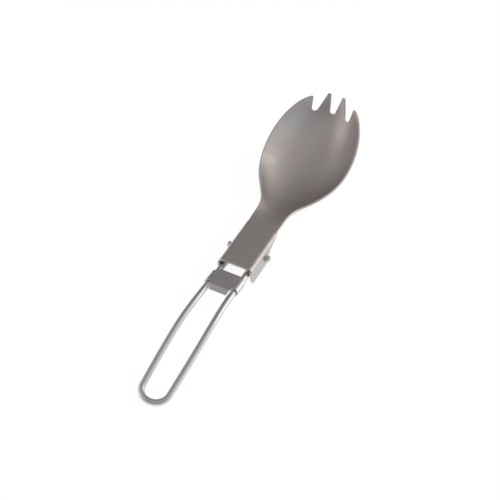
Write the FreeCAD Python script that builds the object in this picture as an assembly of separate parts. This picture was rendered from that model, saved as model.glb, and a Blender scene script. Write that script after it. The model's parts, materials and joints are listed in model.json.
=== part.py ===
import FreeCAD, Part
import math
import os

# Folding spork: a pressed titanium head, a wire loop handle that hinges in the head's
# two side flanges, and a sheet clip that slides along the handle's two wires.
#
# The parts are drawn in the neck's own frame, in millimetres: the origin is the middle
# of the neck plate's rear end on its top face, +X towards the tines, +Y to the left,
# +Z out of the plate. Everything is then laid on a table, bowl up, handle open.

V = FreeCAD.Vector
Y_AXIS = V(0, 1, 0)

# --- driving dimensions ---------------------------------------------------------------

SHEET = 0.9                 # thickness of the head's sheet
WIRE_D = 2.5                # handle wire
WIRE_R = WIRE_D / 2

# Neck channel: a flat plate with a flange folded down along each side.
PLATE_FRONT = 24.6          # where the flat plate runs out into the bowl
CHANNEL_HALF = 7.05         # half width outside, at the foot of the fold
FOLD_R = 1.5                # outer radius of the fold
SPLAY = 0.1                 # the flanges lean outwards by this much per millimetre down
FLANGE_BOTTOM = -7.6        # lowest edge of a flange
FLANGE_REAR = -0.9          # a flange's rear edge, just under the fold
FLANGE_BLANK = 12.0         # height of a flange before its outline is cut
DIMPLE = (2.5, -4.5)        # detent under the open wire, x and z
DIMPLE_SPHERE_R = 1.6
DIMPLE_DEPTH = 0.25
DIMPLE_ZONE = 4.0           # side of the square patch that holds a dimple
DIMPLE_SKIN = 0.7           # share of the sheet left in a dimple's wall

# Hinge: the wire's two ends turn outwards through a hole in each flange.
PIVOT = (13.1, -4.1)        # x and z of the hinge axis, which lies along Y
HOLE_R = WIRE_R + 0.08      # running fit
STUB_END = 8.7              # a wire end stands this far from the middle
WIRE_BEND_R = 1.5           # centre-line radius where a wire turns outwards

# Bowl: each station is a curve from rim to rim through the middle of the floor.
# (floor x, floor z, rim x, rim half width, rim z, fullness of the curve)
STATIONS = [
    (20.0, 0.0, 20.0, 6.35, 0.0, 2.0),
    (PLATE_FRONT, 0.0, PLATE_FRONT, 6.35, 0.0, 2.0),
    (29.0, -0.1, 29.3, 6.35, 0.20, 2.0),
    (34.0, -1.0, 34.3, 6.40, 0.20, 2.0),
    (40.0, -2.9, 40.7, 7.55, -0.45, 2.0),
    (46.0, -4.6, 46.9, 10.65, -0.60, 2.1),
    (52.5, -5.7, 53.0, 14.20, 0.50, 2.2),
    (59.0, -5.8, 58.5, 16.30, 1.50, 2.35),
    (65.0, -4.95, 63.4, 17.50, 3.05, 2.5),
    (71.0, -3.35, 68.4, 17.95, 5.10, 2.6),
    (77.0, -1.15, 73.5, 17.75, 7.50, 2.6),
    (82.2, 1.3, 77.6, 17.00, 9.55, 2.55),
    (86.5, 4.1, 80.6, 16.15, 11.10, 2.5),
    (89.8, 7.05, 83.4, 14.95, 12.50, 2.4),
    (92.2, 10.3, 86.6, 13.30, 14.00, 2.3),
    (93.9, 13.8, 90.0, 10.80, 15.35, 2.1),
    (95.1, 17.2, 92.6, 8.10, 16.25, 2.0),
]
HALF_STEPS = 6              # points across each half of a station

# Tines: an outline in the plane of the front wall, (distance up the wall from the middle
# slot's bottom, half width, corner radius). The corners at the slot ends are the tips of
# the V, so a large radius there gives the slot its round bottom.
TINE_WALL_FOOT = (91.9, 9.7)
TINE_WALL_ANGLE = 67.0      # the wall's slope at the tines
TINE_CUT_BEHIND = 4.0       # the cut starts this far behind the wall
TINE_CUT_DEPTH = 9.0
TINE_OUTLINE = [
    (14.0, 13.0, 0.0),
    (6.6, 10.4, 0.0),
    (5.75, 8.95, 0.35),
    (-5.0, 7.65, 1.15),
    (7.95, 3.75, 0.5),
    (8.05, 2.45, 0.5),
    (-5.4, 0.0, 1.2),
]

# Handle wire, one side: corners of its centre line, (x, half spacing, z).
HANDLE_CORNERS = [
    (-20.5, 5.25, -1.03),
    (-34.0, 5.75, -1.75),
    (-50.0, 5.68, -4.95),
]
HANDLE_END = (-68.6, 5.15, -9.0)
HALF_SPACING_AT_PIVOT = 4.75

# Sliding clip, along the straight part of the wires behind the neck.
CLIP_SHEET = 0.5
CLIP_GAP = 0.12             # between the clip and a wire
CLIP_FRONT = 17.5           # distance of its front edge from the hinge axis
CURL_FRONT = 19.1
CURL_REAR = 25.4
CLIP_CREASE = 26.9          # where the tongue turns down between the wires
TAB_HALF = 4.5              # half width of the front edge
TONGUE_HALF = 3.6
TONGUE_END_HALF = 3.3
TONGUE_LENGTH = 1.7
TONGUE_ANGLE = 38.0
TONGUE_BEND_R = 0.3         # inside radius of the crease
CURL_WRAP = 215.0           # how far a curl goes round its wire, in degrees

# Pose on the table: it rests on the bowl's belly and the end of the handle.
NECK_NOSE_DOWN = 1.5        # the neck plate's slope then, down to the front, in degrees

CLEAR = 20.0                # reach of a cutting shape that has to pass right through


# --- helpers --------------------------------------------------------------------------

def rounded_outline(corners):
    """Closed wire through corners (point, radius), each rounded by an arc."""
    edges = []
    count = len(corners)
    ends = []
    for i in range(count):
        point, radius = corners[i]
        before = (corners[i - 1][0] - point).normalize()
        after = (corners[(i + 1) % count][0] - point).normalize()
        half = before.getAngle(after) / 2
        if radius == 0:
            ends.append((point, point, point))
            continue
        reach = radius / math.tan(half)
        middle = (before + after).normalize() * (radius / math.sin(half) - radius)
        ends.append((point + before * reach, point + middle, point + after * reach))
    for i in range(count):
        start, middle, end = ends[i]
        if corners[i][1] > 0:
            edges.append(Part.Arc(start, middle, end).toShape())
        following = ends[(i + 1) % count][0]
        if end.distanceToPoint(following) > 1e-6:
            edges.append(Part.LineSegment(end, following).toShape())
    return Part.Wire(edges)


def rounded_path(corners, reach_share=0.45):
    """Open wire of straight runs joined by tangent arcs as large as the runs allow."""
    edges = []
    here = corners[0][0]
    for i in range(1, len(corners) - 1):
        point, radius = corners[i]
        before = corners[i - 1][0] - point
        after = corners[i + 1][0] - point
        half = before.getAngle(after) / 2
        reach = reach_share * min(before.Length, after.Length)
        if radius:
            reach = radius / math.tan(half)
        radius = reach * math.tan(half)
        before.normalize()
        after.normalize()
        middle = (before + after).normalize() * (radius / math.sin(half) - radius)
        start = point + before * reach
        end = point + after * reach
        edges.append(Part.LineSegment(here, start).toShape())
        edges.append(Part.Arc(start, point + middle, end).toShape())
        here = end
    edges.append(Part.LineSegment(here, corners[-1][0]).toShape())
    return Part.Wire(edges)


def mirrored(shape):
    """The same shape on the other side of the middle plane."""
    return shape.mirror(V(0, 0, 0), Y_AXIS)


def on_table(shape):
    """Turn a shape from the neck's frame into the table's, origin under the middle."""
    laid = shape.copy()
    laid.rotate(V(0, 0, 0), Y_AXIS, NECK_NOSE_DOWN)
    return laid


# --- head -----------------------------------------------------------------------------

def station_points(station):
    """Points from the right rim to the left rim along one station of the bowl."""
    floor_x, floor_z, rim_x, rim_half, rim_z, fullness = station
    points = []
    for i in range(-HALF_STEPS, HALF_STEPS + 1):
        across = i / HALF_STEPS
        rise = abs(across) ** fullness
        x = floor_x + (rim_x - floor_x) * rise
        z = floor_z + (rim_z - floor_z) * rise
        points.append(V(x, rim_half * across, z))
    return points


def bowl_sheet():
    """Bowl and tines before the slots are cut: one curved sheet, square at its edges."""
    upper_points = [station_points(station) for station in STATIONS]
    upper = Part.BSplineSurface()
    upper.interpolate(upper_points)
    lower_points = []
    for row in upper_points:
        lowered = []
        for point in row:
            normal = upper.normal(*upper.parameter(point))
            if normal.z < 0:
                normal = normal * -1
            lowered.append(point - normal * SHEET)
        lower_points.append(lowered)
    lower = Part.BSplineSurface()
    lower.interpolate(lower_points)
    top = upper.toShape()
    bottom = lower.toShape()
    sides = []
    for first, second in zip(top.Edges, bottom.Edges):
        sides.append(Part.makeRuledSurface(first, second))
    shell = Part.makeShell([top, bottom] + sides)
    shell.sewShape()
    solid = Part.makeSolid(shell)
    if solid.Volume < 0:
        solid.reverse()
    behind = V(PLATE_FRONT - CLEAR, -CLEAR, -CLEAR)
    return solid.cut(Part.makeBox(CLEAR, 2 * CLEAR, 2 * CLEAR, behind))


def tine_cutter():
    """Everything in front of the tines' outline, as a prism square to the front wall."""
    slope = math.radians(TINE_WALL_ANGLE)
    up_wall = V(math.cos(slope), 0, math.sin(slope))
    out_of_wall = V(-math.sin(slope), 0, math.cos(slope))
    foot = V(TINE_WALL_FOOT[0], 0, TINE_WALL_FOOT[1]) - out_of_wall * TINE_CUT_BEHIND
    right = [(along, -half, radius) for along, half, radius in reversed(TINE_OUTLINE[:-1])]
    corners = []
    for along, across, radius in TINE_OUTLINE + right:
        corners.append((foot + up_wall * along + Y_AXIS * across, radius))
    return Part.Face(rounded_outline(corners)).extrude(out_of_wall * TINE_CUT_DEPTH)


def channel():
    """Neck plate with its two folded flanges, as a bar cut to length."""
    rear = FLANGE_REAR - 0.1
    plate_edge = CHANNEL_HALF - FOLD_R
    lean = math.atan(SPLAY)
    inner_r = FOLD_R - SHEET
    centre = V(rear, plate_edge, -FOLD_R)
    down = V(0, math.sin(lean), -math.cos(lean))
    outward = V(0, math.cos(lean), math.sin(lean))
    half_fold = (math.pi / 2 - lean) / 2
    middle_of_fold = V(0, math.sin(half_fold), math.cos(half_fold))

    def side(sign):
        def flip(vector):
            return V(vector.x, sign * vector.y, vector.z)
        return [flip(point) for point in (
            V(rear, plate_edge, 0),
            centre + middle_of_fold * FOLD_R,
            centre + outward * FOLD_R,
            centre + outward * FOLD_R + down * FLANGE_BLANK,
            centre + outward * inner_r + down * FLANGE_BLANK,
            centre + outward * inner_r,
            centre + middle_of_fold * inner_r,
            V(rear, plate_edge, -SHEET),
        )]

    left = side(1)
    right = side(-1)
    edges = [
        Part.LineSegment(right[0], left[0]).toShape(),
        Part.Arc(left[0], left[1], left[2]).toShape(),
        Part.LineSegment(left[2], left[3]).toShape(),
        Part.LineSegment(left[3], left[4]).toShape(),
        Part.LineSegment(left[4], left[5]).toShape(),
        Part.Arc(left[5], left[6], left[7]).toShape(),
        Part.LineSegment(left[7], right[7]).toShape(),
        Part.Arc(right[7], right[6], right[5]).toShape(),
        Part.LineSegment(right[5], right[4]).toShape(),
        Part.LineSegment(right[4], right[3]).toShape(),
        Part.LineSegment(right[3], right[2]).toShape(),
        Part.Arc(right[2], right[1], right[0]).toShape(),
    ]
    bar = Part.Face(Part.Wire(edges)).extrude(V(PLATE_FRONT - rear, 0, 0))
    return bar.common(flange_outline())


def flange_outline():
    """Side outline of the channel: plate above, flanges with their tails below."""
    bottom = FLANGE_BOTTOM
    corners = [
        ((0.0, 1.0), 0),
        ((0.0, -0.75), 0.3),
        ((FLANGE_REAR, -1.4), 0.5),
        ((1.2, bottom), 1.4),
        ((14.3, bottom + 0.2), 1.2),
        ((16.8, -3.2), 4.0),
        ((PLATE_FRONT - 0.9, -SHEET), 0),
        ((PLATE_FRONT, -SHEET), 0),
        ((PLATE_FRONT, 1.0), 0),
    ]
    points = [(V(x, -CLEAR, z), radius) for (x, z), radius in corners]
    return Part.Face(rounded_outline(points)).extrude(Y_AXIS * 2 * CLEAR)


def inner_face_at_dimple():
    """Half distance between the flanges' inner faces at the dimples' height."""
    return CHANNEL_HALF + SPLAY * (-FOLD_R - DIMPLE[1]) - SHEET


def dimple(radius, sign):
    """Ball that presses a detent into a flange from outside, or its inner skin."""
    x, z = DIMPLE
    centre = V(x, sign * (inner_face_at_dimple() - DIMPLE_DEPTH + DIMPLE_SPHERE_R), z)
    return Part.makeSphere(radius, centre)


def dimple_zone(sign):
    """A slab round a flange's inner face, where the detent's bulge shows."""
    x, z = DIMPLE
    low_y = inner_face_at_dimple() - SHEET / 2
    corner = V(x - DIMPLE_ZONE / 2, low_y, z - DIMPLE_ZONE / 2)
    slab = Part.makeBox(DIMPLE_ZONE, SHEET, DIMPLE_ZONE, corner)
    return slab if sign > 0 else mirrored(slab)


def spork_head():
    """Bowl, tines, neck plate and hinge flanges, pressed from one sheet."""
    head = channel().fuse(bowl_sheet().cut(tine_cutter()))
    for sign in (1, -1):
        head = head.fuse(dimple(DIMPLE_SPHERE_R, sign).common(dimple_zone(sign)))
        head = head.cut(dimple(DIMPLE_SPHERE_R - SHEET * DIMPLE_SKIN, sign))
    hole = Part.makeCylinder(HOLE_R, 2 * CLEAR, V(PIVOT[0], -CLEAR, PIVOT[1]), Y_AXIS)
    return head.cut(hole).removeSplitter()


# --- handle ---------------------------------------------------------------------------

def wire_handle():
    """One wire: out through a flange, back along the neck, round the end and back."""
    pivot_x, pivot_z = PIVOT
    near = HALF_SPACING_AT_PIVOT
    left = [
        (V(pivot_x, STUB_END, pivot_z), 0),
        (V(pivot_x, near, pivot_z), WIRE_BEND_R),
    ]
    left += [(V(x, y, z), 0) for x, y, z in HANDLE_CORNERS]
    end_x, end_y, end_z = HANDLE_END
    left.append((V(end_x, end_y, end_z), end_y - 0.05))
    right = [(V(point.x, -point.y, point.z), radius) for point, radius in reversed(left)]
    path = rounded_path(left + right)
    section = Part.Wire(Part.Circle(left[0][0], Y_AXIS, WIRE_R).toShape())
    return path.makePipeShell([section], True, True)


# --- clip -----------------------------------------------------------------------------

def run_frame():
    """Origin, backward direction and upward direction of the straight wires."""
    x, _, z = HANDLE_CORNERS[0]
    start = V(PIVOT[0], 0, PIVOT[1])
    back = (V(x, 0, z) - start).normalize()
    return start, back, Y_AXIS.cross(back)


def slide_lock():
    """Flat clip with a tab in front, a curl round each wire and a tongue behind."""
    start, back, up = run_frame()
    corner_x, corner_half, _ = HANDLE_CORNERS[0]
    spread = (corner_half - HALF_SPACING_AT_PIVOT) / (PIVOT[0] - corner_x)
    half = HALF_SPACING_AT_PIVOT + spread * (CURL_FRONT + CURL_REAR) / 2
    inner_r = WIRE_R + CLIP_GAP
    outer_r = inner_r + CLIP_SHEET

    def at(along, across, height):
        return start + back * along + Y_AXIS * across + up * height

    left = [
        (at(CLIP_FRONT, TAB_HALF, inner_r), 0.4),
        (at(CURL_FRONT, half, inner_r), 0),
        (at(CURL_REAR, half, inner_r), 0),
        (at(CLIP_CREASE, TONGUE_HALF + 0.6, inner_r), 0.3),
    ]
    right = [(V(point.x, -point.y, point.z), radius) for point, radius in reversed(left)]
    clip = Part.Face(rounded_outline(left + right)).extrude(up * CLIP_SHEET)
    for sign in (1, -1):
        clip = clip.fuse(curl(at, sign, half, inner_r, outer_r, back))
    return clip.fuse(tongue(at, inner_r, up)).removeSplitter()


def curl(at, sign, half, inner_r, outer_r, back):
    """Band round the outside and underside of one wire."""
    def rim(radius, turn):
        angle = math.radians(90 - turn)
        return at(CURL_FRONT, sign * (half + radius * math.cos(angle)), radius * math.sin(angle))
    edges = [
        Part.Arc(rim(outer_r, 0), rim(outer_r, CURL_WRAP / 2), rim(outer_r, CURL_WRAP)).toShape(),
        Part.LineSegment(rim(outer_r, CURL_WRAP), rim(inner_r, CURL_WRAP)).toShape(),
        Part.Arc(rim(inner_r, CURL_WRAP), rim(inner_r, CURL_WRAP / 2), rim(inner_r, 0)).toShape(),
        Part.LineSegment(rim(inner_r, 0), rim(outer_r, 0)).toShape(),
    ]
    return Part.Face(Part.Wire(edges)).extrude(back * (CURL_REAR - CURL_FRONT))


def tongue(at, inner_r, up):
    """Tapered lip that turns down between the wires."""
    turn = math.radians(TONGUE_ANGLE)
    top = inner_r + CLIP_SHEET
    overlap = 1.0
    start = CLIP_CREASE - overlap
    centre_height = inner_r - TONGUE_BEND_R

    def section_point(along, height):
        return at(along, -CLEAR / 2, height)

    def on_bend(radius, angle, run=0.0):
        along = CLIP_CREASE + radius * math.sin(angle) + run * math.cos(angle)
        height = centre_height + radius * math.cos(angle) - run * math.sin(angle)
        return section_point(along, height)

    outer_r = TONGUE_BEND_R + CLIP_SHEET
    outer = [on_bend(outer_r, 0), on_bend(outer_r, turn / 2), on_bend(outer_r, turn)]
    inner = [on_bend(TONGUE_BEND_R, turn), on_bend(TONGUE_BEND_R, turn / 2), on_bend(TONGUE_BEND_R, 0)]
    outer_tip = on_bend(outer_r, turn, TONGUE_LENGTH)
    inner_tip = on_bend(TONGUE_BEND_R, turn, TONGUE_LENGTH)
    upper_start = section_point(start, top)
    lower_start = section_point(start, inner_r)
    edges = [
        Part.LineSegment(upper_start, outer[0]).toShape(),
        Part.Arc(*outer).toShape(),
        Part.LineSegment(outer[2], outer_tip).toShape(),
        Part.LineSegment(outer_tip, inner_tip).toShape(),
        Part.LineSegment(inner_tip, inner[0]).toShape(),
        Part.Arc(*inner).toShape(),
        Part.LineSegment(inner[2], lower_start).toShape(),
        Part.LineSegment(lower_start, upper_start).toShape(),
    ]
    strip = Part.Face(Part.Wire(edges)).extrude(Y_AXIS * CLEAR)
    below = -3.0
    left = [
        (at(start, TONGUE_HALF, below), 0),
        (at(CLIP_CREASE, TONGUE_HALF, below), 0),
        (at(CLIP_CREASE + 3, TONGUE_END_HALF - 0.3, below), 0),
    ]
    right = [(V(corner.x, -corner.y, corner.z), 0) for corner, _ in reversed(left)]
    return strip.common(Part.Face(rounded_outline(left + right)).extrude(up * 8))


# --- build ----------------------------------------------------------------------------

def main():
    nodes = {
        "spork_head": spork_head(),
        "wire_handle": wire_handle(),
        "slide_lock": slide_lock(),
    }
    laid = {name: on_table(shape) for name, shape in nodes.items()}
    whole = Part.makeCompound(list(laid.values())).BoundBox
    shift = V(-(whole.XMin + whole.XMax) / 2, 0, -whole.ZMin)
    os.makedirs("parts", exist_ok=True)
    for name, shape in laid.items():
        shape.translate(shift)
        solid = shape if shape.ShapeType == "Solid" else shape.Solids[0]
        solid.exportStep(f"parts/{name}.step")
        box = solid.BoundBox
        corners = [round(v, 2) for v in (box.XMin, box.YMin, box.ZMin, box.XMax, box.YMax, box.ZMax)]
        print(name, "valid", solid.isValid(), "solids", len(shape.Solids))
        print("  volume", round(solid.Volume, 1), "box", corners)
    pivot = V(PIVOT[0], 0, PIVOT[1])
    turned = FreeCAD.Rotation(Y_AXIS, NECK_NOSE_DOWN).multVec(pivot) + shift
    print("hinge axis at", [round(v, 3) for v in turned])


main()
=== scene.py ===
import json
import math

import bpy
import numpy as np
from mathutils import Matrix, Vector
from mathutils.geometry import delaunay_2d_cdt


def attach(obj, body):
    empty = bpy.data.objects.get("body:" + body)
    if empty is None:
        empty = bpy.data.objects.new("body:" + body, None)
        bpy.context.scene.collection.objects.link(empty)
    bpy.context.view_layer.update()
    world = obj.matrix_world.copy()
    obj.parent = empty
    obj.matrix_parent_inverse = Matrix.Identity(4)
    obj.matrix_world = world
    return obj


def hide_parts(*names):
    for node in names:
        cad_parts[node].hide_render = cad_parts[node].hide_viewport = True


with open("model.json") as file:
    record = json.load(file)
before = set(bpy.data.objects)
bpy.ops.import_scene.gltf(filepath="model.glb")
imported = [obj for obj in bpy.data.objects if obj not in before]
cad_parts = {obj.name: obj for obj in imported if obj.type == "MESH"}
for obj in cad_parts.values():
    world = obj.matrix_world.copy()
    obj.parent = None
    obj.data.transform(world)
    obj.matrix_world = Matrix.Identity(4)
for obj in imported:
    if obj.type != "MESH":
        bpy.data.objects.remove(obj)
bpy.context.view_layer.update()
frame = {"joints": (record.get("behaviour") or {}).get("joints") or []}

# Shapes are drawn in millimetres in the neck's own frame: the origin is the middle of the
# neck plate's rear end on its top face, +X towards the tines, +Y left, +Z out of the plate.
# to_row() then puts them where the CAD has them.

MM = 0.001
NECK_NOSE_DOWN = math.radians(1.5)
PIVOT = Vector((13.1, 0.0, -4.1))
TURN = Matrix.Rotation(NECK_NOSE_DOWN, 3, "Y")
HINGE = next(j for j in frame["joints"] if j["name"] == "handle_fold")
SHIFT = Vector(HINGE["pos_m"]) / MM - TURN @ PIVOT

# Flat patterns and edges
EDGE_ARC = [math.radians(v) for v in (0, 22.5, 45, 67.5, 90)]
NORMAL_STEP = 0.01
LOOP_CHUNK = 200                # vertices of a loop compared at a time, to save memory

# --- head ---
SHEET = 0.9
CHANNEL_HALF = 7.05
FOLD_R = 1.8
PLATE_EDGE = CHANNEL_HALF - FOLD_R
LEAN = math.atan(0.1)
FOLD_TURN = math.pi / 2 - LEAN
FOLD_END = PLATE_EDGE + FOLD_R * FOLD_TURN
BOWL_START = 24.6
BLEND = (22.5, 28.5)            # the fold fades out into the bowl between these
HOLE_R = 1.33
DIMPLE = (2.5, -4.5)
DIMPLE_REACH = 1.1
DIMPLE_DEPTH = 0.5
HEAD_EDGE_R = 0.24
RIM_STEP = 0.3                  # spacing of the vertices along the outline
ROW_STEP = 0.45                 # spacing of the rows along the sheet
PLATE_STEP = 0.5                # spacing across the plate and the bowl
FOLD_STEP = 0.17
FLANGE_STEP = 0.4
DIMPLE_STEP = 0.15
HEAD_MARGIN = 0.42              # clear strip between the outline and the inner vertices
FLAT_HALF = 26.0                # wider than the flat pattern anywhere
FLANGE_REACH = 14.5
HOLE_SIDES = 48
STATIONS = [
    # floor x, floor z, rim x, rim half width, rim z, fullness
    (20.0, 0.0, 20.0, 6.35, 0.0, 2.0),
    (24.6, 0.0, 24.6, 6.35, 0.0, 2.0),
    (29.0, -0.1, 29.3, 6.35, 0.20, 2.0),
    (34.0, -1.0, 34.3, 6.40, 0.20, 2.0),
    (40.0, -2.9, 40.7, 7.55, -0.45, 2.0),
    (46.0, -4.6, 46.9, 10.65, -0.60, 2.05),
    (52.5, -5.7, 53.0, 14.20, 0.50, 2.1),
    (59.0, -5.8, 58.5, 16.30, 1.50, 2.17),
    (65.0, -4.95, 63.4, 17.50, 3.05, 2.25),
    (71.0, -3.35, 68.4, 17.95, 5.10, 2.3),
    (77.0, -1.15, 73.5, 17.75, 7.50, 2.3),
    (82.2, 1.3, 77.6, 17.00, 9.55, 2.27),
    (86.5, 4.1, 80.6, 16.15, 11.10, 2.25),
    (89.8, 7.05, 83.4, 14.95, 12.50, 2.2),
    (92.2, 10.3, 86.6, 13.30, 14.00, 2.15),
    (93.9, 13.8, 90.0, 10.80, 15.35, 2.05),
    (95.1, 17.2, 92.6, 8.10, 16.25, 2.0),
]
TINE_WALL_FOOT = (91.9, 9.7)
TINE_WALL_ANGLE = math.radians(67.0)
TINE_OUTLINE = [                # up the wall, half width, corner radius
    (5.72, 8.9, 0.4),
    (-5.0, 7.65, 1.15),
    (7.95, 3.75, 0.5),
    (8.05, 2.45, 0.5),
    (-5.4, 0.0, 1.2),
]
SHOULDER = [(25.6, 1.0), (27.5, 0.0)]     # along, corner radius, where flange meets rim
RIM_START = 28.0
TIP_CLEAR = 0.75                # the rim is left this far below an outer tip
WALL_SEARCH = (30, 3, 1200)     # reach behind and past the sheet's end, samples
GIRTH_SAMPLES = 41
FLANGE_OUTLINE = [              # along, height, corner radius
    (0.0, -0.75, 0.3),
    (-0.9, -1.4, 0.5),
    (1.2, -7.6, 1.4),
    (14.3, -7.4, 1.2),
    (16.8, -3.2, 4.0),
    (23.7, -0.9, 0.5),
]

# --- handle ---
WIRE_R = 1.25
STUB_END = 8.95
STUB_CHAMFER = 0.22
WIRE_BEND_R = 1.5
HALF_SPACING_AT_PIVOT = 4.75
HANDLE_CORNERS = [(-20.5, 5.25, -1.03), (-34.0, 5.75, -1.75), (-50.0, 5.68, -4.95)]
HANDLE_END = (-68.6, 5.15, -9.0)
WIRE_SIDES = 48
STUB_RINGS = [                  # depth from the end, radius
    (0.0, WIRE_R - STUB_CHAMFER),
    (0.06, WIRE_R - 0.09),
    (STUB_CHAMFER, WIRE_R),
]
CAP_RING = 0.75                 # inner ring of a stub's end, as a share of its radius
BEND_SHARE = 0.45               # part of the shorter run that a gentle bend takes up
BEND_STEP = math.radians(4)
WIRE_STEP = 1.0

# --- clip ---
CLIP_SHEET = 0.5
CLIP_GAP = 0.12
CLIP_EDGE_R = 0.12
CLIP_FRONT = 17.5
CURL_FRONT = 19.1
CURL_REAR = 25.4
CLIP_CREASE = 26.9
CURL_WRAP = math.radians(215.0)
TONGUE_ANGLE = math.radians(38.0)
TONGUE_LENGTH = 2.0
TAB_HALF = 4.5                  # half widths of the front edge, the crease and the tip
CREASE_HALF = 4.0
TONGUE_END_HALF = 3.5
TONGUE_BEND_R = 0.3 + CLIP_SHEET
CLIP_RIM_STEP = 0.16
CLIP_ACROSS_STEP = 0.24
CLIP_ROW_STEP = 0.3             # spacing of the rows on the flat, at the crease and on the tongue
CREASE_ROW_STEP = 0.09
TONGUE_ROW_STEP = 0.25
CLIP_MARGIN = 0.2


def to_row(points):
    """Neck frame in millimetres to the row frame in metres."""
    turn = np.array(TURN)
    return (np.asarray(points) @ turn.T + np.array(SHIFT)) * MM


# --- curves and outlines --------------------------------------------------------------

def spline(knots, values):
    """Natural cubic spline through the values, straight beyond its ends."""
    knots = np.asarray(knots, float)
    values = np.asarray(values, float)
    n = len(knots)
    step = np.diff(knots)
    matrix = np.eye(n)
    right = np.zeros(n)
    for i in range(1, n - 1):
        matrix[i, i - 1:i + 2] = step[i - 1], 2 * (step[i - 1] + step[i]), step[i]
        slope_change = (values[i + 1] - values[i]) / step[i] - (values[i] - values[i - 1]) / step[i - 1]
        right[i] = 6 * slope_change
    bend = np.linalg.solve(matrix, right)

    def at(x):
        x = np.asarray(x, float)
        held = np.clip(x, knots[0], knots[-1])
        k = np.clip(np.searchsorted(knots, held) - 1, 0, n - 2)
        h = step[k]
        a = (knots[k + 1] - held) / h
        b = (held - knots[k]) / h
        value = a * values[k] + b * values[k + 1]
        value += ((a ** 3 - a) * bend[k] + (b ** 3 - b) * bend[k + 1]) * h ** 2 / 6
        slope = (values[k + 1] - values[k]) / h
        slope += ((3 * b ** 2 - 1) * bend[k + 1] - (3 * a ** 2 - 1) * bend[k]) * h / 6
        return value + slope * (x - held)
    return at


def rounded(corners, closed, arc_step=0.12):
    """Corners (x, y, radius) as a polyline with each radius made an arc of short steps."""
    out = []
    n = len(corners)
    for i, (x, y, radius) in enumerate(corners):
        here = np.array((x, y))
        if radius == 0 or (not closed and i in (0, n - 1)):
            out.append(here)
            continue
        before = np.array(corners[i - 1][:2]) - here
        after = np.array(corners[(i + 1) % n][:2]) - here
        before = before / np.linalg.norm(before)
        after = after / np.linalg.norm(after)
        half = math.acos(max(-1, min(1, before @ after))) / 2
        middle = before + after
        centre = here + middle / np.linalg.norm(middle) * radius / math.sin(half)
        reach = radius / math.tan(half)
        start = here + before * reach - centre
        end = here + after * reach - centre
        turn = math.atan2(start[0] * end[1] - start[1] * end[0], start @ end)
        steps = max(3, int(abs(turn) * radius / arc_step) + 1)
        for k in range(steps + 1):
            c, s = math.cos(turn * k / steps), math.sin(turn * k / steps)
            out.append(centre + (start[0] * c - start[1] * s, start[0] * s + start[1] * c))
    return np.array(out)


def resampled(line, step):
    """The closed polyline with points no further apart than the step."""
    out = []
    for a, b in zip(line, np.roll(line, -1, axis=0)):
        length = np.linalg.norm(b - a)
        if length < 1e-6:
            continue
        parts = max(1, math.ceil(length / step))
        out += [a + (b - a) * k / parts for k in range(parts)]
    return np.array(out)


def inside(points, loop):
    """Which points lie in the closed loop."""
    x, y = points[:, 0], points[:, 1]
    result = np.zeros(len(points), bool)
    for (x0, y0), (x1, y1) in zip(loop, np.roll(loop, -1, axis=0)):
        if y0 == y1:
            continue
        crosses = (y0 > y) != (y1 > y)
        result ^= crosses & (x < (x1 - x0) * (y - y0) / (y1 - y0) + x0)
    return result


def distance_to(points, loop):
    """Distance from each point to the nearest vertex of the loop."""
    best = np.full(len(points), np.inf)
    for start in range(0, len(loop), LOOP_CHUNK):
        part = loop[start:start + LOOP_CHUNK]
        gap = points[:, None, :] - part[None, :, :]
        best = np.minimum(best, np.sqrt((gap ** 2).sum(-1)).min(1))
    return best


# --- sheet metal ----------------------------------------------------------------------

def sheet_normals(place, flat):
    """Unit normals of the mapped sheet, on its upper side."""
    h = NORMAL_STEP
    along = place(flat + (h, 0)) - place(flat - (h, 0))
    across = place(flat + (0, h)) - place(flat - (0, h))
    normal = np.cross(along, across)
    return normal / np.linalg.norm(normal, axis=1, keepdims=True)


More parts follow.
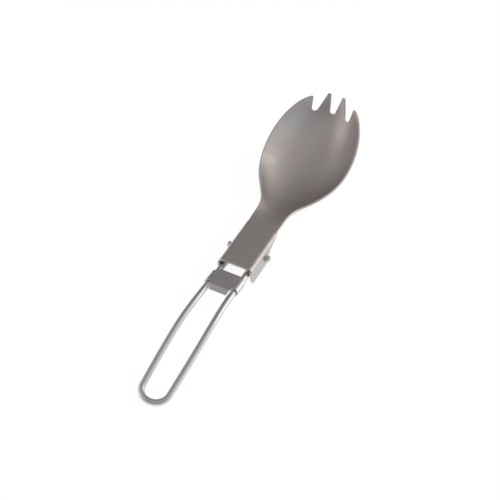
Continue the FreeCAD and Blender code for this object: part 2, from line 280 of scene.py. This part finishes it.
def sheet_mesh(name, loops, grid, place, thickness, edge_r, margin):
    """A folded sheet: a flat pattern with rounded edges, mapped to its shape by place().

    The first loop is the outline and runs anticlockwise; the others are holes and run
    clockwise. Grid points give the sheet its inner vertices, and keep the margin from the
    loops."""
    keep = inside(grid, loops[0])
    for loop in loops[1:]:
        keep &= ~inside(grid, loop)
    for loop in loops:
        keep &= distance_to(grid, loop) > margin
    grid = grid[keep]
    rim = np.concatenate(loops)
    flat = np.concatenate([rim, grid])
    edges = []
    first = 0
    for loop in loops:
        n = len(loop)
        edges += [(first + i, first + (i + 1) % n) for i in range(n)]
        first += n
    cdt = delaunay_2d_cdt([Vector(p) for p in flat], edges, [], 0, 1e-7)
    cdt_points = np.array([tuple(p) for p in cdt[0]])
    origin = [o[0] for o in cdt[3]]
    triangles = np.array([f for f in cdt[2] if len(f) == 3])
    centres = cdt_points[triangles].mean(1)
    keep = inside(centres, loops[0])
    for loop in loops[1:]:
        keep &= ~inside(centres, loop)
    triangles = np.array(origin)[triangles[keep]]
    a, b, c = flat[triangles[:, 0]], flat[triangles[:, 1]], flat[triangles[:, 2]]
    area = (b[:, 0] - a[:, 0]) * (c[:, 1] - a[:, 1]) - (b[:, 1] - a[:, 1]) * (c[:, 0] - a[:, 0])
    triangles[area < 0] = triangles[area < 0][:, ::-1]

    upper = place(flat)
    normal = sheet_normals(place, flat)
    count = len(flat)
    verts = [upper, upper - normal * thickness]
    faces = [tuple(t) for t in triangles]
    faces += [tuple(t[::-1] + count) for t in triangles]
    total = 2 * count
    first = 0
    for loop in loops:
        n = len(loop)
        index = np.arange(first, first + n)
        point, up = upper[index], normal[index]
        run = np.roll(point, -1, axis=0) - np.roll(point, 1, axis=0)
        out = np.cross(run, up)
        out /= np.linalg.norm(out, axis=1, keepdims=True)
        steps = [(turn, (1 - math.cos(turn)) * edge_r) for turn in EDGE_ARC]
        steps += [(turn, thickness - depth) for turn, depth in reversed(steps)]
        rings = [point + out * (math.sin(turn) - 1) * edge_r - up * depth for turn, depth in steps]
        verts[0][index] = rings[0]
        verts[1][index] = rings[-1]
        ids = [index]
        for ring in rings[1:-1]:
            verts.append(ring)
            ids.append(np.arange(total, total + n))
            total += n
        ids.append(index + count)
        for here, below in zip(ids, ids[1:]):
            for i in range(n):
                j = (i + 1) % n
                faces.append((here[j], here[i], below[i], below[j]))
        first += n
    mesh = bpy.data.meshes.new(name)
    mesh.from_pydata(to_row(np.concatenate(verts)).tolist(), [], [[int(i) for i in f] for f in faces])
    mesh.validate()
    mesh.shade_smooth()
    return add_object(name, mesh)


def add_object(name, mesh):
    piece = bpy.data.objects.new(name, mesh)
    bpy.context.scene.collection.objects.link(piece)
    return piece


# --- head: bowl, tines, neck plate and flanges -----------------------------------------

table = np.array(STATIONS)
middle = (table[:, [0, 1]] + table[:, [2, 4]]) / 2
run = np.concatenate([[0], np.cumsum(np.linalg.norm(np.diff(middle, axis=0), axis=1))]) + STATIONS[0][0]
FLOOR_X, FLOOR_Z, RIM_X, RIM_HALF, RIM_Z, FULLNESS = (spline(run, table[:, k]) for k in range(6))
SHEET_END = run[-1]


def bowl_point(s, a):
    """Point of the bowl at s along and a share a of the half width across."""
    rise = np.abs(a) ** FULLNESS(s)
    x = FLOOR_X(s) + (RIM_X(s) - FLOOR_X(s)) * rise
    z = FLOOR_Z(s) + (RIM_Z(s) - FLOOR_Z(s)) * rise
    return np.stack([x, RIM_HALF(s) * a, z], -1)


share = np.linspace(0, 1, GIRTH_SAMPLES)
girth = []
for s in run:
    steps = np.diff(bowl_point(np.full(GIRTH_SAMPLES, s), share), axis=0)
    girth.append(np.linalg.norm(steps, axis=1).sum())
GIRTH = spline(run, girth)      # arc length from the middle to the rim


def channel_point(x, t):
    """Point of the neck channel at x along and t across its folded sheet."""
    side = np.sign(t)
    t = np.abs(t)
    turn = np.clip((t - PLATE_EDGE) / FOLD_R, 0, FOLD_TURN)
    below = np.maximum(t - FOLD_END, 0)
    y = np.minimum(t, PLATE_EDGE) + FOLD_R * np.sin(turn) + below * math.sin(LEAN)
    z = -FOLD_R * (1 - np.cos(turn)) - below * math.cos(LEAN)
    return np.stack([x, side * y, z], -1)


def smooth(x):
    x = np.clip(x, 0, 1)
    return x * x * (3 - 2 * x)


def across_of_height(z):
    """Distance across the folded sheet of a height on the fold or the flange."""
    end = -FOLD_R * (1 - math.cos(FOLD_TURN))
    if z > end:
        return PLATE_EDGE + FOLD_R * math.acos(1 + z / FOLD_R)
    return FOLD_END + (end - z) / math.cos(LEAN)


DIMPLE_ACROSS = across_of_height(DIMPLE[1])
HOLE = (PIVOT.x, across_of_height(PIVOT.z))


def place_head(flat):
    s, t = flat[:, 0], flat[:, 1]
    share_across = t / GIRTH(np.maximum(s, BOWL_START))
    fade = smooth((s - BLEND[0]) / (BLEND[1] - BLEND[0]))[:, None]
    point = channel_point(s, t) * (1 - fade) + bowl_point(s, share_across) * fade
    away = np.hypot(s - DIMPLE[0], np.abs(t) - DIMPLE_ACROSS) / DIMPLE_REACH
    press = DIMPLE_DEPTH * np.cos(np.clip(away, 0, 1) * math.pi / 2) ** 2
    point[:, 1] -= np.sign(t) * press
    return point


def tine_wall(points):
    """Height of points up the plane of the front wall."""
    x, z = points[..., 0] - TINE_WALL_FOOT[0], points[..., 2] - TINE_WALL_FOOT[1]
    return x * math.cos(TINE_WALL_ANGLE) + z * math.sin(TINE_WALL_ANGLE)


def head_outline():
    """Half the outline of the flat pattern, on the left, from the rear to the middle slot."""
    corners = [(0.0, 0.0, 0.0)]
    corners += [(x, across_of_height(z), radius) for x, z, radius in FLANGE_OUTLINE]
    corners += [(x, float(GIRTH(x)), radius) for x, radius in SHOULDER]
    neck = rounded(corners, False)
    rim_s = np.arange(RIM_START, SHEET_END, RIM_STEP)
    up = tine_wall(bowl_point(rim_s, np.ones_like(rim_s)))
    kept = np.flatnonzero(up < TINE_OUTLINE[0][0] - TIP_CLEAR)
    rim = np.stack([rim_s[kept], GIRTH(rim_s[kept])], -1)
    rim_end = (up[kept[-1]], RIM_HALF(rim_s[kept[-1]]), 0.0)
    past_middle = (TINE_OUTLINE[-2][0], -TINE_OUTLINE[-2][1], 0.0)
    wall_line = rounded([rim_end] + TINE_OUTLINE + [past_middle], False)[1:-1]
    wall_line = wall_line[wall_line[:, 1] >= -1e-9]
    fine = []
    for a, b in zip(wall_line, wall_line[1:]):
        parts = max(1, int(np.linalg.norm(b - a) / RIM_STEP))
        fine += [a + (b - a) * k / parts for k in range(parts)]
    fine.append(wall_line[-1])
    behind, past, samples = WALL_SEARCH
    s_grid = np.linspace(SHEET_END - behind, SHEET_END + past, samples)
    tines = []
    for up_wall, across in fine:
        a = across / RIM_HALF(s_grid)
        heights = tine_wall(bowl_point(s_grid, a))
        top = int(heights.argmax()) + 1
        s = np.interp(up_wall, heights[:top], s_grid[:top])
        tines.append((s, across / RIM_HALF(s) * GIRTH(s)))
    return np.concatenate([neck, rim, np.array(tines)])


def head():
    half = head_outline()
    other = half[::-1] * (1, -1)
    outline = resampled(np.concatenate([half, other])[::-1], RIM_STEP)
    spin = np.linspace(0, 2 * math.pi, HOLE_SIDES, endpoint=False)
    circle = HOLE_R * np.stack([np.cos(spin), -np.sin(spin)], -1)
    holes = [circle + (HOLE[0], side * HOLE[1]) for side in (1, -1)]
    folded_row = np.concatenate([np.arange(0, PLATE_EDGE, PLATE_STEP),
                                 np.arange(PLATE_EDGE, FOLD_END + 0.2, FOLD_STEP),
                                 np.arange(FOLD_END + 0.35, FLANGE_REACH, FLANGE_STEP)])
    bowl_row = np.concatenate([np.arange(0, PLATE_EDGE, PLATE_STEP),
                               np.arange(PLATE_EDGE, FLAT_HALF, PLATE_STEP)])
    grid = []
    for s in np.arange(-0.6, SHEET_END + 1, ROW_STEP):
        row = folded_row if s < BLEND[1] else bowl_row
        row = np.concatenate([-row[:0:-1], row])
        grid.append(np.stack([np.full(len(row), s), row], -1))
    grid = np.concatenate(grid)
    for side in (1, -1):
        centre = np.array((DIMPLE[0], side * DIMPLE_ACROSS))
        grid = grid[np.linalg.norm(grid - centre, axis=1) > DIMPLE_REACH + 0.25]
        rings = [centre[None]]
        for radius in np.arange(DIMPLE_STEP, DIMPLE_REACH + 0.2, DIMPLE_STEP):
            turn = np.linspace(0, 2 * math.pi, max(8, int(radius * 36)), endpoint=False)
            rings.append(centre + radius * np.stack([np.cos(turn), np.sin(turn)], -1))
        grid = np.concatenate([grid] + rings)
    return sheet_mesh("head_sheet", [outline] + holes, grid, place_head, SHEET, HEAD_EDGE_R, HEAD_MARGIN)


# --- handle: one bent wire ---------------------------------------------------------------

def wire_path():
    """Centre line as points, from the left stub's end to the right one's.

    A corner with no radius of its own is bent as gently as its two runs allow."""
    near = HALF_SPACING_AT_PIVOT
    left = [(Vector((PIVOT.x, STUB_END, PIVOT.z)), 0), (Vector((PIVOT.x, near, PIVOT.z)), WIRE_BEND_R)]
    left += [(Vector(c), None) for c in HANDLE_CORNERS]
    left.append((Vector(HANDLE_END), HANDLE_END[1] - 0.05))
    right = [(Vector((p.x, -p.y, p.z)), r) for p, r in reversed(left)]
    corners = left + right
    points = [corners[0][0]]
    for i in range(1, len(corners) - 1):
        here, radius = corners[i]
        before = corners[i - 1][0] - here
        after = corners[i + 1][0] - here
        half = before.angle(after) / 2
        if radius is None:
            reach = BEND_SHARE * min(before.length, after.length)
        else:
            reach = radius / math.tan(half)
        radius = reach * math.tan(half)
        before.normalize()
        after.normalize()
        centre = here + (before + after).normalized() * radius / math.sin(half)
        start = here + before * reach - centre
        end = here + after * reach - centre
        axis = start.cross(end).normalized()
        turn = start.angle(end)
        steps = max(4, int(turn / BEND_STEP) + 1)
        for k in range(steps + 1):
            points.append(centre + Matrix.Rotation(turn * k / steps, 3, axis) @ start)
    points.append(corners[-1][0])
    return points


def wire():
    path = wire_path()
    fine = [path[0]]
    for a, b in zip(path, path[1:]):
        parts = max(1, int((b - a).length / WIRE_STEP))
        fine += [a + (b - a) * k / parts for k in range(1, parts + 1)]
    first_way = (fine[1] - fine[0]).normalized()
    last_way = (fine[-2] - fine[-1]).normalized()
    rings = [(fine[0] + first_way * depth, radius) for depth, radius in STUB_RINGS]
    rings += [(p, WIRE_R) for p in fine[1:-1]]
    rings += [(fine[-1] + last_way * depth, radius) for depth, radius in reversed(STUB_RINGS)]
    verts, faces = [], []
    side = Vector((0, 0, 1))
    for k, (point, radius) in enumerate(rings):
        ahead = rings[min(k + 1, len(rings) - 1)][0] - rings[max(k - 1, 0)][0]
        ahead.normalize()
        side = (side - ahead * side.dot(ahead)).normalized()
        other = ahead.cross(side)
        for j in range(WIRE_SIDES):
            turn = 2 * math.pi * j / WIRE_SIDES
            verts.append(point + side * math.cos(turn) * radius + other * math.sin(turn) * radius)
        if k:
            base, last = k * WIRE_SIDES, (k - 1) * WIRE_SIDES
            for j in range(WIRE_SIDES):
                n = (j + 1) % WIRE_SIDES
                faces.append((last + j, last + n, base + n, base + j))
    end = len(verts) - WIRE_SIDES
    for base, order in ((0, -1), (end, 1)):
        ring = verts[base:base + WIRE_SIDES]
        centre = sum(ring, Vector()) / WIRE_SIDES
        inner = len(verts)
        verts += [centre + (p - centre) * CAP_RING for p in ring]
        verts.append(centre)
        for j in range(WIRE_SIDES):
            n = (j + 1) % WIRE_SIDES
            band = (base + j, base + n, inner + n, inner + j)
            cap = (inner + j, inner + n, inner + WIRE_SIDES)
            faces.append(band[::order])
            faces.append(cap[::order])
    mesh = bpy.data.meshes.new("handle_wire")
    mesh.from_pydata(to_row([tuple(v) for v in verts]).tolist(), [], faces)
    mesh.validate()
    mesh.shade_smooth()
    return add_object("handle_wire", mesh)


# --- clip ----------------------------------------------------------------------------------

CLIP_INNER_R = WIRE_R + CLIP_GAP
CLIP_OUTER_R = CLIP_INNER_R + CLIP_SHEET
RUN_START = Vector((PIVOT.x, 0, PIVOT.z))
RUN_BACK = (Vector((HANDLE_CORNERS[0][0], 0, HANDLE_CORNERS[0][2])) - RUN_START).normalized()
RUN_UP = Vector((0, 1, 0)).cross(RUN_BACK)
SPREAD = (HANDLE_CORNERS[0][1] - HALF_SPACING_AT_PIVOT) / (PIVOT.x - HANDLE_CORNERS[0][0])
CURL_HALF = HALF_SPACING_AT_PIVOT + SPREAD * (CURL_FRONT + CURL_REAR) / 2


def place_clip(flat):
    """Pattern x runs backwards along the wires, pattern y to the right, so its upper side is out."""
    along, t = flat[:, 0], -flat[:, 1]
    side = np.sign(t)
    t = np.abs(t)
    turn = np.clip((t - CURL_HALF) / CLIP_OUTER_R, 0, CURL_WRAP + 0.3)
    y = side * (np.minimum(t, CURL_HALF) + CLIP_OUTER_R * np.sin(turn))
    height = CLIP_OUTER_R * np.cos(turn)
    past = np.maximum(along - CLIP_CREASE, 0)
    bend = np.minimum(past / TONGUE_BEND_R, TONGUE_ANGLE)
    straight = np.maximum(past - TONGUE_BEND_R * TONGUE_ANGLE, 0)
    x = np.minimum(along, CLIP_CREASE) + TONGUE_BEND_R * np.sin(bend) + straight * np.cos(bend)
    height = height - TONGUE_BEND_R * (1 - np.cos(bend)) - straight * np.sin(bend)
    start, back, up = np.array(RUN_START), np.array(RUN_BACK), np.array(RUN_UP)
    return start + x[:, None] * back + y[:, None] * np.array((0, 1, 0)) + height[:, None] * up


def clip():
    curl_edge = CURL_HALF + CLIP_OUTER_R * CURL_WRAP
    tip = CLIP_CREASE + TONGUE_BEND_R * TONGUE_ANGLE + TONGUE_LENGTH
    half = [                    # along, half width, corner radius
        (CLIP_FRONT, TAB_HALF, 0.4),
        (CURL_FRONT, CURL_HALF + 0.1, 0.12),
        (CURL_FRONT, curl_edge, 0.4),
        (CURL_REAR, curl_edge, 0.4),
        (CURL_REAR, CURL_HALF - 0.1, 0.12),
        (CLIP_CREASE, CREASE_HALF, 0.5),
        (tip, TONGUE_END_HALF, 0.45),
    ]
    other = [(x, -y, r) for x, y, r in reversed(half)]
    outline = resampled(rounded(other + half, True, 0.06), CLIP_RIM_STEP)[::-1]
    row = np.arange(0, curl_edge, CLIP_ACROSS_STEP)
    row = np.concatenate([-row[:0:-1], row])
    grid = []
    for x in np.concatenate([np.arange(CLIP_FRONT, CLIP_CREASE - 0.1, CLIP_ROW_STEP),
                             np.arange(CLIP_CREASE, CLIP_CREASE + 0.6, CREASE_ROW_STEP),
                             np.arange(CLIP_CREASE + 0.75, tip, TONGUE_ROW_STEP)]):
        grid.append(np.stack([np.full(len(row), x), row], -1))
    return sheet_mesh("clip_sheet", [outline], np.concatenate(grid), place_clip,
                      CLIP_SHEET, CLIP_EDGE_R, CLIP_MARGIN)


# --- materials -------------------------------------------------------------------------------

def metal(name, colour, tint, roughness, grain, lines, lines_scale):
    """Bare metal: slow colour drift, a fine grain and drawn or brushed lines along X."""
    material = bpy.data.materials.new(name)
    material.use_nodes = True
    nodes, links = material.node_tree.nodes, material.node_tree.links
    shader = nodes["Principled BSDF"]
    shader.inputs["Metallic"].default_value = 1.0
    coords = nodes.new("ShaderNodeTexCoord")

    def noise(scale, detail, stretch=(1, 1, 1)):
        mapping = nodes.new("ShaderNodeMapping")
        mapping.inputs["Scale"].default_value = stretch
        links.new(coords.outputs["Object"], mapping.inputs["Vector"])
        node = nodes.new("ShaderNodeTexNoise")
        node.inputs["Scale"].default_value = scale
        node.inputs["Detail"].default_value = detail
        links.new(mapping.outputs["Vector"], node.inputs["Vector"])
        return node

    def ramp(source, stops):
        node = nodes.new("ShaderNodeValToRGB")
        elements = node.color_ramp.elements
        while len(elements) < len(stops):
            elements.new(0.5)
        for element, (position, value) in zip(elements, stops):
            element.position = position
            element.color = (*value, 1) if isinstance(value, tuple) else (value, value, value, 1)
        links.new(source, node.inputs["Fac"])
        return node.outputs["Color"]

    drift = noise(70, 3)
    base = ramp(drift.outputs["Fac"], [(0.3, colour), (0.5, tint), (0.7, colour)])
    fine = noise(2600, 2)
    mottle = ramp(fine.outputs["Fac"], [(0.3, 0.88), (0.7, 1.0)])
    mix = nodes.new("ShaderNodeMix")
    mix.data_type = "RGBA"
    mix.blend_type = "MULTIPLY"
    mix.inputs["Factor"].default_value = 1.0
    links.new(base, mix.inputs["A"])
    links.new(mottle, mix.inputs["B"])
    links.new(mix.outputs["Result"], shader.inputs["Base Color"])
    rough = ramp(noise(220, 4).outputs["Fac"], [(0.3, roughness - 0.04), (0.7, roughness + 0.05)])
    links.new(rough, shader.inputs["Roughness"])
    bump = nodes.new("ShaderNodeBump")
    bump.inputs["Strength"].default_value = grain
    bump.inputs["Distance"].default_value = 0.00002
    links.new(fine.outputs["Fac"], bump.inputs["Height"])
    brushed = nodes.new("ShaderNodeBump")
    brushed.inputs["Strength"].default_value = lines
    brushed.inputs["Distance"].default_value = 0.00002
    links.new(noise(lines_scale, 3, (0.03, 1, 1)).outputs["Fac"], brushed.inputs["Height"])
    links.new(bump.outputs["Normal"], brushed.inputs["Normal"])
    links.new(brushed.outputs["Normal"], shader.inputs["Normal"])
    return material


head_piece = head()
wire_piece = wire()
clip_piece = clip()
for piece, node, body, slot, material in (
    (head_piece, "spork_head", "head", "head_titanium",
     metal("head_titanium", (0.575, 0.525, 0.495), (0.54, 0.53, 0.525), 0.40, 0.25, 0.10, 3000)),
    (wire_piece, "wire_handle", "handle", "wire_titanium",
     metal("wire_titanium", (0.66, 0.66, 0.655), (0.62, 0.62, 0.62), 0.25, 0.04, 0.05, 2200)),
    (clip_piece, "slide_lock", "lock", "clip_steel",
     metal("clip_steel", (0.66, 0.665, 0.67), (0.61, 0.615, 0.62), 0.28, 0.12, 0.10, 3000)),
):
    piece.data.materials.append(material)
    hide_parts(node)
    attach(piece, body)

# --- floor, light and camera -------------------------------------------------------------------

floor_mesh = bpy.data.meshes.new("floor")
FLOOR_HALF = 6.0
floor_corners = [(x * FLOOR_HALF, y * FLOOR_HALF, 0) for x, y in ((-1, -1), (1, -1), (1, 1), (-1, 1))]
floor_mesh.from_pydata(floor_corners, [], [(0, 1, 2, 3)])
floor = add_object("floor", floor_mesh)
floor_material = bpy.data.materials.new("pale_floor")
floor_material.use_nodes = True
floor_shader = floor_material.node_tree.nodes["Principled BSDF"]
floor_shader.inputs["Base Color"].default_value = (0.3, 0.3, 0.3, 1)
floor_shader.inputs["Roughness"].default_value = 0.6
floor_shader.inputs["Emission Color"].default_value = (1, 1, 1, 1)
floor_shader.inputs["Emission Strength"].default_value = 0.84
floor.data.materials.append(floor_material)


def direction(azimuth, elevation):
    a, e = math.radians(azimuth), math.radians(elevation)
    return Vector((math.sin(a) * math.cos(e), -math.cos(a) * math.cos(e), math.sin(e)))


KEY = {"azimuth": 46, "elevation": 14, "distance": 1.2, "width": 0.28, "height": 0.9,
       "radiance": 1.1, "color": (1.0, 0.93, 0.85)}
key = bpy.data.lights.new("key_side", "AREA")
key.shape = "RECTANGLE"
key.size = KEY["width"]
key.size_y = KEY["height"]
key.color = KEY["color"]
key.energy = KEY["radiance"] * math.pi * KEY["width"] * KEY["height"]
key_lamp = bpy.data.objects.new("key_side", key)
bpy.context.scene.collection.objects.link(key_lamp)
key_way = direction(KEY["azimuth"], KEY["elevation"])
key_lamp.location = key_way * KEY["distance"]
key_lamp.rotation_mode = "QUATERNION"
key_lamp.rotation_quaternion = key_way.to_track_quat("Z", "Y")

# A dim pale room with five soft glows. Each falls off as exp(sharpness * (cosine - 1)).
SKY_BASE = (0.12, 0.12, 0.12)
SKY_GLOWS = [                   # azimuth, elevation, sharpness, radiance
    (50, 10, 6, (1.3, 1.2, 1.1)),         # round the panel, ahead of the spork and to its right
    (-5, 10, 6, (0.6, 0.65, 0.7)),        # cool fill from its right
    (-165, 10, 5, (1.2, 1.1, 1.1)),       # fill from its left
    (-80, 45, 8, (0.25, 0.25, 0.25)),     # weak light behind the camera
    (30, 80, 4, (0.4, 0.35, 0.35)),       # overhead
]

world = bpy.data.worlds.new("studio")
bpy.context.scene.world = world
world.use_nodes = True
world_nodes, world_links = world.node_tree.nodes, world.node_tree.links
background = world_nodes["Background"]
sky_coords = world_nodes.new("ShaderNodeTexCoord")


def sky_node(kind, operation, output, *values):
    """A node of the sky whose inputs are sockets, numbers or vectors."""
    node = world_nodes.new(kind)
    node.operation = operation
    for socket, value in zip(node.inputs, values):
        if isinstance(value, bpy.types.NodeSocket):
            world_links.new(value, socket)
        else:
            socket.default_value = value
    return node.outputs[output]


sky = SKY_BASE
for azimuth, elevation, sharpness, radiance in SKY_GLOWS:
    towards = sky_node("ShaderNodeVectorMath", "DOT_PRODUCT", "Value",
                       sky_coords.outputs["Generated"], direction(azimuth, elevation))
    power = sky_node("ShaderNodeMath", "MULTIPLY_ADD", "Value", towards, sharpness, -sharpness)
    glow = sky_node("ShaderNodeMath", "EXPONENT", "Value", power)
    sky = sky_node("ShaderNodeVectorMath", "MULTIPLY_ADD", "Vector", glow, radiance, sky)
world_links.new(sky, background.inputs["Color"])
background.inputs["Strength"].default_value = 1.0

scene = bpy.context.scene
scene.view_settings.view_transform = "Standard"
camera_data = bpy.data.cameras.new("camera")
camera_data.lens = 108.0
camera_data.sensor_width = 36.0
camera_data.clip_start = 0.01
camera_data.clip_end = 50.0
camera = bpy.data.objects.new("camera", camera_data)
scene.collection.objects.link(camera)
camera.location = (-0.38359, -0.14699, 0.40961)
camera.rotation_euler = [math.radians(v) for v in (45.2865, -4.2185, -64.9145)]
scene.camera = camera
